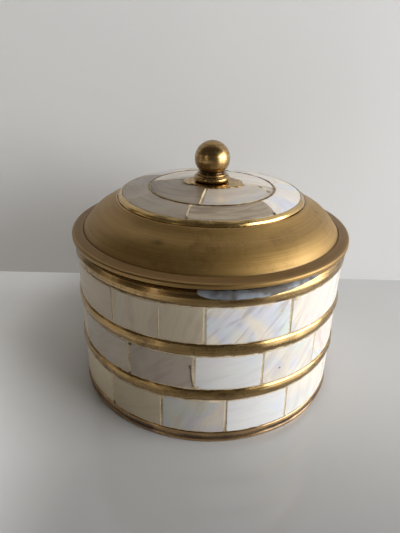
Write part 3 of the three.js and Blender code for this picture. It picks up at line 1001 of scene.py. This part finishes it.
            def slant(t: np.ndarray, amount: float = lean) -> np.ndarray:
                """Sideways lean of a tile that is set slightly askew."""
                return amount * t

            bed = self.wall_bed(angles.min(), angles.max(), bottom - over, top + over, 0, slant)
            drawn = Grain(lean=rng.uniform(-80, 80), streaks=rng.uniform(0.1, 0.8),
                          warmth=rng.uniform(-0.35, 0.6), clouds=rng.uniform(0.3, 1))
            piece = inlay(name, bed, self.tile_cut, 300 + number, self.grains.get(name, drawn))
            self.shop.fit(piece, self.shop.finishes.shell, "mother_of_pearl", name)

    def add_flaws(self) -> None:
        """Old damage at the front: a crack, a pit, broken joint ends and smears of mastic over tile edges."""
        lower, middle, upper = (node_heights(row + "_tile_01") for row in ("lower", "middle", "upper"))
        dirt, filler, grout = self.shop.finishes.dirt, self.shop.finishes.filler, self.shop.finishes.grout
        # name, angle, height, half width, half height, sideways lean, finish
        spots = [
            ("hairline", -18.6, upper[0] + 5.0, 0.08, 5.0, 0.1, grout),
            ("crack", -6.1, middle[0] + 4.2, 0.12, 3.8, -0.5, dirt),
            ("crack_top", -6.8, middle[0] + 7.4, 0.22, 0.7, -0.2, dirt),
            ("pit", 27.9, middle[0] + 4.3, 0.3, 0.25, 0, dirt),
            ("notch_high", -31.2, middle[1] - 0.35, 0.6, 0.4, 0.1, dirt),
            ("notch_low", -32.0, middle[0], 0.5, 0.35, 0.1, dirt),
            ("notch_left", -42.2, lower[0] + 0.5, 0.4, 0.6, 0, dirt),
            ("smear_joint", -18.2, lower[1] - 0.4, 0.8, 0.6, 0, filler),
            ("smear_band", 2.5, lower[1], 1.7, 0.2, 0, filler),
            ("smear_upper", 10.0, upper[1], 1.9, 0.2, 0, filler),
            ("smear_side", 32.0, upper[1] - 0.3, 0.6, 0.5, 0, filler),
        ]
        for seed, (name, degrees, height, half_width, half_height, lean, finish) in enumerate(spots):
            angle, half = math.radians(degrees), half_width / self.face

            def leaning(t: np.ndarray, amount: float = lean) -> np.ndarray:
                """Sideways run of a crack, with a slight curve."""
                return amount * (t + 0.5 * (1 - t * t))

            bed = self.wall_bed(angle - half, angle + half, height - half_height, height + half_height,
                                -0.1, leaning)
            small = min(half_width, half_height)
            cut = Cut(0.5, easing=0.1, corner=small, raggedness=0.35 * small, bow=0.02, points=90)
            self.shop.fit(inlay(name, bed, cut, 700 + seed), finish, "mastic")

    def add_solder(self) -> None:
        """A skin of solder over the upper part of the mouth band, at the right of the front.

        It reaches down from just under the lid by 0.6 + 1.7 sin(pi q^0.6) millimetres, where q runs from 0
        at its left end to 1 at its right end, and its lower edge is a little wavy.
        """
        top = node_heights("mouth_band")[1] - 0.85
        side = rounded_line(self.mouth_side(), closed=False, step=0.2)
        low, high = math.radians(-5), math.radians(43)
        proud = 0.17  # how far the skin stands off the band

        def place(s: np.ndarray, t: np.ndarray, depth: np.ndarray) -> np.ndarray:
            """Points a little outside the band's own profile."""
            angle = (low + high) / 2 + s * (high - low) / 2
            wave = 0.1 * np.cos(15 * angle) + 0.07 * np.cos(34 * angle + 1)
            reach = 0.6 + (1.7 + wave) * np.sin(np.pi * np.clip((1 + s) / 2, 0, 1) ** 0.6)
            height = top - reach * (1 - t) / 2
            radius = np.interp(height, side[:, 1], side[:, 0]) + proud
            return around(radius - depth, angle, height)

        bed = Bed(half_width=40 * (high - low) / 2, half_height=1.2, place=place)
        cut = Cut(0.3, easing=0.1, corner=0.5, raggedness=0.1, bow=0.02, points=420)
        self.shop.fit(inlay("solder_skin", bed, cut, 808), self.shop.finishes.solder, "satin_brass")


# ---- the lid ---------------------------------------------------------------------------------------------
@dataclass
class Lid:
    """The spun dome with its inlaid roundel, its knob and what holds them underneath."""

    shop: Workshop
    crown_top: float = 67.9  # height of the roundel's face on the axis
    crown_curve: float = 138.0  # radius of the sphere that the face lies on
    groove: tuple[float, float] = (41.3, 54.6)  # radius and height of the ogee's foot, in the flange's groove
    shoulder: tuple[float, float] = (30.6, 63.55)  # radius and height of its top, beside the roundel
    seat: float = 29.9  # radius of the sunk seat of the roundel
    seat_depth: float = 2.5  # how far the seat lies below the roundel's face
    sheet: float = 1.0  # thickness of the crown
    rebate: tuple[float, float] = (40.9, 1.2)  # radius and height of the rebate for the collar
    bore: float = 2.15  # radius of the hole for the knob's shank
    ball: float = 5.6  # radius of the knob's ball
    ring_bore: float = 2.2  # radius of the hole in the rosette and the nut
    tile_cut: Cut = Cut(thickness=1.4, easing=0.14, corner=0.3, raggedness=0.13, bow=0.035)
    closer: float = 0.11  # how much further than its node a tile reaches into each joint
    # The last number, the share of darker brown, is partly painted shade on these tiles of the roundel.
    grains: dict[str, Grain] = field(default_factory=lambda: {
        "lid_outer_tile_1": Grain(2, 1.0, 1.0, 0.6, 0.8),
        "lid_outer_tile_2": Grain(60, 0.25, -0.35, 0.9, 0.0),
        "lid_outer_tile_6": Grain(4, 0.5, 0.6, 0.8, 0.95),
        "lid_outer_tile_5": Grain(15, 0.3, 0.3, 0.8, 0.9),
        "lid_inner_tile_1": Grain(-12, 0.35, 0.3, 0.8, 0.45),
        "lid_inner_tile_4": Grain(20, 0.6, 0.6, 0.6, 1.0),
    })

    def crown(self, radius: np.ndarray) -> np.ndarray:
        """Height of the roundel's face: top - r^2 / (2 R)."""
        return self.crown_top - np.square(radius) / (2 * self.crown_curve)

    def build(self) -> None:
        """Makes every piece of the lid."""
        self.add_dome()
        self.add_collar()
        self.add_rings()
        self.add_bed()
        self.add_tiles()
        self.add_filler()
        self.add_plate()
        self.add_knob()
        self.add_nut()

    def add_dome(self) -> None:
        """The dome, one sheet: flange, groove, ogee side, the sunk seat of the roundel and the underside."""
        line = divided(np.vstack([self.dome_outside(), self.dome_inside()])[::-1], closed=True, step=0.6)
        middle = 36.0  # radius at the middle of the side, where angles are turned into millimetres

        def knocks(angle: np.ndarray, height: np.ndarray) -> np.ndarray:
            """Four shallow knocks in the side: round dips, each a Gaussian in angle and height."""
            # angle, height, depth, half width
            spots = [
                (-23, 58.4, 0.05, 1.0), (28, 60.0, 0.07, 1.6), (118, 58.0, 0.08, 1.8), (201, 60.5, 0.06, 1.2),
            ]
            dips = 0.0
            for at, up, depth, wide in spots:
                aside = np.angle(np.exp(1j * (angle - math.radians(at)))) * middle
                dips = dips + depth * np.exp(-(aside ** 2 + (height - up) ** 2) / wide ** 2)
            return -dips * (height < 62)

        def stain(angle: np.ndarray, height: np.ndarray) -> np.ndarray:
            """One small dark stain at the front, to the left: an oval Gaussian."""
            away = ((angle - math.radians(336)) * middle / 1.3) ** 2 + ((height - 60.1) / 0.5) ** 2
            return 0.6 * np.exp(-away) * (height > 59)

        dome = turned("dome", line, True, Ripple(0.03, 9, 12, 31), knocks, stain)
        self.shop.fit(dome, self.shop.finishes.dome, "satin_brass", "lid_dome")

    def dome_side(self) -> tuple[np.ndarray, np.ndarray]:
        """The ogee of the dome's side: a straight slope from shoulder to groove, swollen by two sines.

        Returns:
            The share t of the way down of each point, and the points of shape (count, 2).
        """
        groove, shoulder = np.array(self.groove), np.array(self.shoulder)
        t = np.linspace(0, 1, 40)
        side = shoulder + (groove - shoulder) * t[:, None]
        side[:, 1] += 1.05 * np.sin(np.pi * t ** 1.25) - 0.25 * np.sin(2 * np.pi * t)
        return t, side

    def dome_outside(self) -> np.ndarray:
        """Points of the dome's outside, from the knob outwards: seat, its wall, side, flange and rebate."""
        low = node_heights("lid_dome")[0]
        reach = node_radii("lid_dome")[1]
        inwards, upwards = self.rebate
        foot, level = self.groove
        out = np.linspace(self.bore, self.seat, 30)
        seat = np.stack([out, self.crown(out) - self.seat_depth], axis=-1)
        lip = self.seat + 0.1
        wall = np.array([(lip, 62.3), (lip, 63.3), (lip + 0.06, 63.42), (lip + 0.2, 63.5)])
        flange = rounded_line([
            (foot + 0.02, level - 0.08, 0), (foot + 0.1, level - 0.2, 0.05), (foot + 0.4, level + 0.02, 0.15),
            (reach - 0.3, low + 1.55, 0.3), (reach, low + 1.2, 0.25), (reach, low + 0.25, 0.25),
            (reach - 0.5, low, 0.2), (inwards, low, 0.1), (inwards, low + upwards, 0.1),
            (inwards - 1, low + upwards + 0.7, 0.3),
        ], closed=False, step=0.4)
        return np.vstack([seat, wall, self.dome_side()[1], flange])

    def dome_inside(self) -> np.ndarray:
        """Points of the dome's underside, from the rebate inwards: the side and the crown."""
        t, side = self.dome_side()
        slope = side[(t > 0.11) & (t < 0.87)] - (0.75, 0.95)
        out = np.linspace(self.seat - 1.3, self.bore, 30)
        roof = np.stack([out, self.crown(out) - self.seat_depth - self.sheet], axis=-1)
        return np.vstack([slope[::-1], roof])

    def add_collar(self) -> None:
        """The collar that drops into the cup, with a lip soldered in the lid's rebate."""
        low, high = node_heights("lid_collar")
        inner, lip = node_radii("lid_collar")
        sheet, step = 0.8, high - 0.7
        line = rounded_line([
            (inner, low, 0.2), (inner + sheet, low, 0.35), (inner + sheet, step, 0.15), (lip, step, 0.15),
            (lip, high, 0.15), (inner, high, 0.25),
        ], closed=True)
        collar = turned("collar", line, True, Ripple(0.03, 9, 12, 33))
        self.shop.fit(collar, self.shop.finishes.inside, "satin_brass", "lid_collar")

    def add_rings(self) -> None:
        """The bright frame round the roundel and the thin divider between its two rings of tiles."""
        foot = node_heights("inlay_frame")[0]
        inner, outer = node_radii("inlay_frame")
        edge = float(self.crown(inner))
        bead = rounded_line([
            (inner, foot + 0.3, 0.1), (outer, foot, 0.1), (outer + 0.12, edge - 1.2, 0.3),
            (outer - 0.2, edge - 0.55, 0.5), (inner + 0.35, edge - 0.04, 0.2), (inner, edge - 0.04, 0.08),
        ], closed=True, step=0.2)
        border = turned("inlay_frame", bead, True, Ripple(0.05, 22, 6, 35))
        self.shop.fit(border, self.shop.finishes.bright, "polished_brass", "inlay_frame")
        foot = node_heights("inlay_divider")[0]
        inner, outer = node_radii("inlay_divider")
        top = float(self.crown(inner))
        wire = rounded_line([
            (inner + 0.1, foot, 0.1), (outer - 0.1, foot, 0.1), (outer - 0.1, top - 0.02, 0.1),
            ((inner + outer) / 2, top + 0.1, 0.2), (inner + 0.1, top + 0.02, 0.1),
        ], closed=True, step=0.2)
        divider = turned("inlay_divider", wire, True, Ripple(0.05, 40, 6, 37))
        self.shop.fit(divider, self.shop.finishes.wire, "polished_brass", "inlay_divider")

    def add_bed(self) -> None:
        """The mastic under and between the tiles of the roundel: a thin cap with a crumbly face."""
        inner, outer = node_radii("inlay_bed")
        out = np.linspace(inner, outer, 60)
        top = np.stack([out, self.crown(out) - 0.1], axis=-1)
        bottom = np.stack([out, self.crown(out) - 2.3], axis=-1)
        line = np.vstack([bottom, top[::-1]])
        cap = turned("roundel_mastic", line, True, swell=crumbling(Ripple(0.07, 90, 2.2, 39, terms=24)))
        self.shop.fit(cap, self.shop.finishes.grout, "mastic", "inlay_bed")

    def crown_bed(self, inner: float, outer: float, left: tuple[float, float], right: tuple[float, float],
                  rise: float = 0.0) -> Bed:
        """A place on the roundel between two radii and two leaning joints.

        Its points are around(r(t), a(s, r), crown(r) + rise - depth), where a runs from the left joint to the
        right one.

        Args:
            inner: Inner radius.
            outer: Outer radius.
            left: Angle of the left joint at the inner and the outer radius, in radians.
            right: The same for the right joint.
            rise: How far the face stands above the roundel's.

        Returns:
            The bed.
        """
        def place(s: np.ndarray, t: np.ndarray, depth: np.ndarray) -> np.ndarray:
            """Points of the bed, in millimetres. t = -1 is the outer edge."""
            share = (1 - t) / 2
            radius = inner + (outer - inner) * share
            first = left[0] + (left[1] - left[0]) * share
            last = right[0] + (right[1] - right[0]) * share
            angle = (first + last) / 2 + s * (last - first) / 2
            return around(radius, angle, self.crown(radius) + rise - depth)

        middle = (inner + outer) / 2
        return Bed(middle * (sum(right) - sum(left)) / 4, (outer - inner) / 2, place)

    def add_tiles(self) -> None:
        """The two rings of tiles, each over its node of the frame."""
        names = sorted(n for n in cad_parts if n.startswith("lid_") and "_tile_" in n)
        for number, name in enumerate(names):
            rng = np.random.default_rng(500 + number)
            points = node_points(name)
            reach = np.hypot(points[:, 0], points[:, 1])
            angles = tile_angles(points)
            inner, outer = float(reach.min()), float(reach.max())
            near, far = angles[reach < inner + 0.3], angles[reach > outer - 0.3]
            left = (near.min() - self.closer / inner, far.min() - self.closer / outer)
            right = (near.max() + self.closer / inner, far.max() + self.closer / outer)
            bed = self.crown_bed(inner, outer, left, right)
            drawn = Grain(lean=rng.uniform(-60, 60), streaks=rng.uniform(0.2, 0.7),
                          warmth=rng.uniform(-0.3, 0.3), clouds=rng.uniform(0.4, 0.9))
            piece = inlay(name, bed, self.tile_cut, 900 + number, self.grains.get(name, drawn))
            self.shop.fit(piece, self.shop.finishes.shell, "mother_of_pearl", name)

    def add_filler(self) -> None:
        """Filler over the front joint, joint ends with old dirt in them, and granules by the rosette."""
        filler, grout, dirt = self.shop.finishes.filler, self.shop.finishes.grout, self.shop.finishes.dirt
        bright = self.shop.finishes.bright
        # name, angle at inner and outer end, inner and outer radius, half width, finish
        spots = [
            ("front_filler", (-14.0, -11.0), (5.5, 19.6), 0.15, filler),
            ("joint_end_a", (-17.3, -17.3), (20.6, 22.0), 0.4, grout),
            ("joint_end_b", (-15.2, -14.6), (27.2, 28.5), 0.35, dirt),
            ("joint_end_c", (45.6, 45.0), (20.5, 21.7), 0.35, grout),
            ("joint_end_d", (39.2, 38.6), (27.5, 28.5), 0.45, dirt),
            ("granule_a", (64, 62), (9.6, 10.8), 0.6, filler),
            ("granule_b", (77, 76), (16.6, 18.2), 0.8, filler),
            ("granule_c", (72, 71), (18.0, 19.4), 0.8, bright),
            ("granule_d", (82, 81), (15.2, 16.3), 0.6, bright),
        ]
        for seed, (name, angles, radii, half, finish) in enumerate(spots):
            a, b = (math.radians(value) for value in angles)
            left = (a - half / radii[0], b - half / radii[1])
            right = (a + half / radii[0], b + half / radii[1])
            bed = self.crown_bed(*radii, left, right, 0.07)
            cut = Cut(0.5, easing=0.1, corner=0.45 * half, raggedness=0.4 * half, bow=0.03, points=120)
            self.shop.fit(inlay(name, bed, cut, 950 + seed), finish, "mastic")

    def add_plate(self) -> None:
        """The thin rosette under the knob: an uneven oval that lies on the roundel.

        Its outline is a(u) = oval(u) (1 + wobble(u)), and its face falls with the crown.
        """
        low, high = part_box("knob_plate")
        wide, deep = high.x / MM, high.y / MM
        angle = np.linspace(0, 2 * np.pi, COLUMNS, endpoint=False)
        wobble = Ripple(0.05, 5, 30, 41).height(angle, 0) + Ripple(0.02, 23, 30, 42).height(angle, 0)
        wobble = wobble + 0.1 * np.sin(angle)
        oval = 1 / np.hypot(np.sin(angle) / wide, np.cos(angle) / deep) * (1 + wobble)
        share = np.array([0, 1, 1, 0.995, 0.98, 0.95, 0.85, 0.7, 0.5, 0.25, 0, 0])[:, None]
        rise = np.array([0.0, 0.0, 0.12, 0.2, 0.25, 0.28, 0.3, 0.32, 0.36, 0.45, 0.5, 0.3])[:, None]
        radius = self.ring_bore + (oval - self.ring_bore) * share
        crumbs = Ripple(0.05, 60, 1.5, 43, terms=20).height(angle, radius) * (share > 0.2) * (rise > 0.1)
        points = around(radius, angle, self.crown(radius) + 0.04 + rise + crumbs)
        plate = surface("knob_plate", points, Ends.RING, {"hollow": 0.08 * (share > 0.97) - crumbs})
        self.shop.fit(plate, self.shop.finishes.bright, "polished_brass", "knob_plate")

    def add_knob(self) -> None:
        """The knob: shank, rounded collar, step, waist and a ball drawn up to a small point."""
        low, top = node_heights("knob")
        seat = self.crown_top + 0.65
        up = np.linspace(math.radians(-43), math.radians(84), 60)
        sphere = np.stack([self.ball * np.cos(up), top - self.ball + self.ball * np.sin(up) * 0.985], axis=-1)
        tip = np.array([(0.32, top - 0.03), (0, top)])
        stem = rounded_line([
            (0, low, 0), (1.9, low, 0.4), (1.9, seat, 0.05), (5.35, seat, 0.35), (5.9, seat + 0.85, 0.75),
            (5.3, seat + 1.6, 0.45), (4.75, seat + 1.7, 0.15), (4.85, seat + 2.25, 0.3),
            (3.75, seat + 2.6, 0.3), (*sphere[0], 0),
        ], closed=False, step=0.2)
        line = np.vstack([stem[:-1], sphere, tip])
        knob = turned("knob", line, False, Ripple(0.012, 7, 6, 45))
        self.shop.fit(knob, self.shop.finishes.knob, "polished_brass", "knob")

    def add_nut(self) -> None:
        """The hexagon nut inside: its outline is the smaller of a hexagon and a chamfered circle."""
        low, high = node_heights("knob_nut")
        across = node_radii("knob_nut")[1] * math.cos(math.pi / 6)
        angle = np.linspace(0, 2 * np.pi, COLUMNS, endpoint=False)
        turn = np.mod(angle + math.pi / 6, math.pi / 3) - math.pi / 6
        hexagon = across / np.cos(turn)
        chamfered = np.minimum(hexagon, 3.9)
        share = np.array([0, 0.55, 0.8, 1, 1, 1, 1, 0.8, 0.55, 0])[:, None]
        rise = np.array([low, low, low, low + 0.25, low + 0.6])
        height = np.concatenate([rise, (low + high - rise)[::-1]])[:, None]
        edge = np.where(share < 1, chamfered, hexagon)
        points = around(self.ring_bore + (edge - self.ring_bore) * share, angle, height)
        nut = surface("knob_nut", points, Ends.RING, {"hollow": np.zeros(points.shape[:2])})
        self.shop.fit(nut, self.shop.finishes.knob, "polished_brass", "knob_nut")


# ---- the room --------------------------------------------------------------------------------------------
@dataclass(frozen=True)
class Viewpoint:
    """The camera. Places are in millimetres."""

    place: tuple[float, float, float] = (-3.13, -148.35, 109.27)
    aim: tuple[float, float, float] = (-3.13, 0.0, 37.27)
    roll: float = 1.3
    lens: float = 31.77

    def build(self) -> None:
        """Makes the camera and makes it the scene's own."""
        data = bpy.data.cameras.new("camera")
        data.lens = self.lens
        data.clip_start, data.clip_end = 0.005, 20
        camera = bpy.data.objects.new("camera", data)
        look = (Vector(self.aim) - Vector(self.place)).to_track_quat("-Z", "Y")
        camera.rotation_mode = "QUATERNION"
        camera.rotation_quaternion = look @ Quaternion((0, 0, 1), math.radians(self.roll))
        camera.location = Vector(self.place) * MM
        bpy.context.scene.collection.objects.link(camera)
        bpy.context.scene.camera = camera


@dataclass(frozen=True)
class Softbox:
    """One area light, at an angle round the box and an elevation. It faces the box, and no camera sees it."""

    name: str
    angle: float
    elevation: float
    distance: float  # metres
    width: float  # metres
    height: float  # metres
    power: float  # watts
    colour: Colour = (1.0, 1.0, 1.0)
    mirrored: bool = True  # whether glossy surfaces show it

    def build(self) -> None:
        """Makes the light."""
        data = bpy.data.lights.new(self.name, "AREA")
        data.shape, data.size, data.size_y = "RECTANGLE", self.width, self.height
        data.energy, data.color = self.power, self.colour
        lamp = bpy.data.objects.new(self.name, data)
        a, e = math.radians(self.angle), math.radians(self.elevation)
        away = Vector((math.sin(a) * math.cos(e), -math.cos(a) * math.cos(e), math.sin(e)))
        lamp.location = away * self.distance + Vector((0, 0, 0.04))
        lamp.rotation_mode = "QUATERNION"
        lamp.rotation_quaternion = (-away).to_track_quat("-Z", "Y")
        lamp.visible_glossy = self.mirrored
        lamp.visible_camera = False
        bpy.context.scene.collection.objects.link(lamp)


@dataclass(frozen=True)
class Room:
    """A pale glossy table against a pale wall, with a window's light from the right."""

    wall: float = 66.0  # distance from the box's axis to the wall, in millimetres
    half: float = 1.6  # half the table's width, in metres
    lights: tuple[Softbox, ...] = (
        Softbox("window", 76, 13, 0.9, 1.0, 0.5, 13.9, (0.965, 0.985, 1.0)),
        Softbox("sky", 75, 45, 1.1, 1.0, 0.8, 7.4, (0.98, 0.99, 1.0), mirrored=False),
        Softbox("room", -60, 22, 1.3, 0.6, 0.9, 1.5, (1.0, 0.89, 0.74), mirrored=False),
        Softbox("doorway", -41, 12, 1.2, 0.1, 0.5, 0.36, (1.0, 0.9, 0.76)),
        Softbox("side", -98, 8, 1.2, 1.1, 0.4, 0.72, (1.0, 0.88, 0.7)),
    )
    horizon: Colour = (0.088, 0.079, 0.067)
    zenith: Colour = (0.073, 0.068, 0.06)

    def build(self) -> None:
        """Makes the table, the wall, the lights and the dim surroundings."""
        table = self.sheet("table", [(-1, -1, 0), (1, -1, 0), (1, 1, 0), (-1, 1, 0)])
        # the table's paint has painted shade in front of the box and painted light at its left
        table.data.materials.append(Paint("table_top", (0.5, 0.49, 0.48), 0.12, near=0.46, left=0.95).build())
        back = self.wall * MM / self.half
        wall = self.sheet("wall", [(-1, back, 0), (1, back, 0), (1, back, 0.8), (-1, back, 0.8)])
        # the wall's paint has painted shade that darkens it far to the left
        paint = Paint("wall_paint", (0.7, 0.695, 0.69), 0.7, fade=0.8, one_sided=True)
        wall.data.materials.append(paint.build())
        for light in self.lights:
            light.build()
        self.surround()
        bpy.context.scene.view_settings.view_transform = "Standard"

    def surround(self) -> None:
        """Dim surroundings that darken from the horizon to overhead."""
        world = bpy.data.worlds.new("surroundings")
        world.use_nodes = True
        tree = world.node_tree
        where = tree.nodes.new("ShaderNodeTexCoord")
        apart = tree.nodes.new("ShaderNodeSeparateXYZ")
        shade = tree.nodes.new("ShaderNodeValToRGB")
        low, high = shade.color_ramp.elements
        low.position, low.color = 0.1, (*self.horizon, 1)
        high.position, high.color = 0.7, (*self.zenith, 1)
        tree.links.new(where.outputs["Generated"], apart.inputs[0])
        tree.links.new(apart.outputs["Z"], shade.inputs[0])
        tree.links.new(shade.outputs[0], tree.nodes["Background"].inputs["Color"])
        bpy.context.scene.world = world

    def sheet(self, name: str, corners: list[tuple[float, float, float]]) -> bpy.types.Object:
        """A flat sheet that isn't part of the box. Its four corners are shares of the table's half width."""
        mesh = bpy.data.meshes.new(name)
        mesh.from_pydata([tuple(self.half * v for v in corner) for corner in corners], [], [(0, 1, 2, 3)])
        made = bpy.data.objects.new(name, mesh)
        bpy.context.scene.collection.objects.link(made)
        return made


def main() -> None:
    """Builds the view, the room, the box and the lid."""
    logging.basicConfig(level=logging.INFO, format="%(message)s")
    Viewpoint().build()
    Room().build()
    finishes = Finishes()
    box, lid = Workshop(finishes, "box"), Workshop(finishes, "lid")
    BoxBody(box).build()
    Lid(lid).build()
    log.info("%d pieces on the box, %d on the lid", box.count, lid.count)


if __name__ == "__main__":
    main()
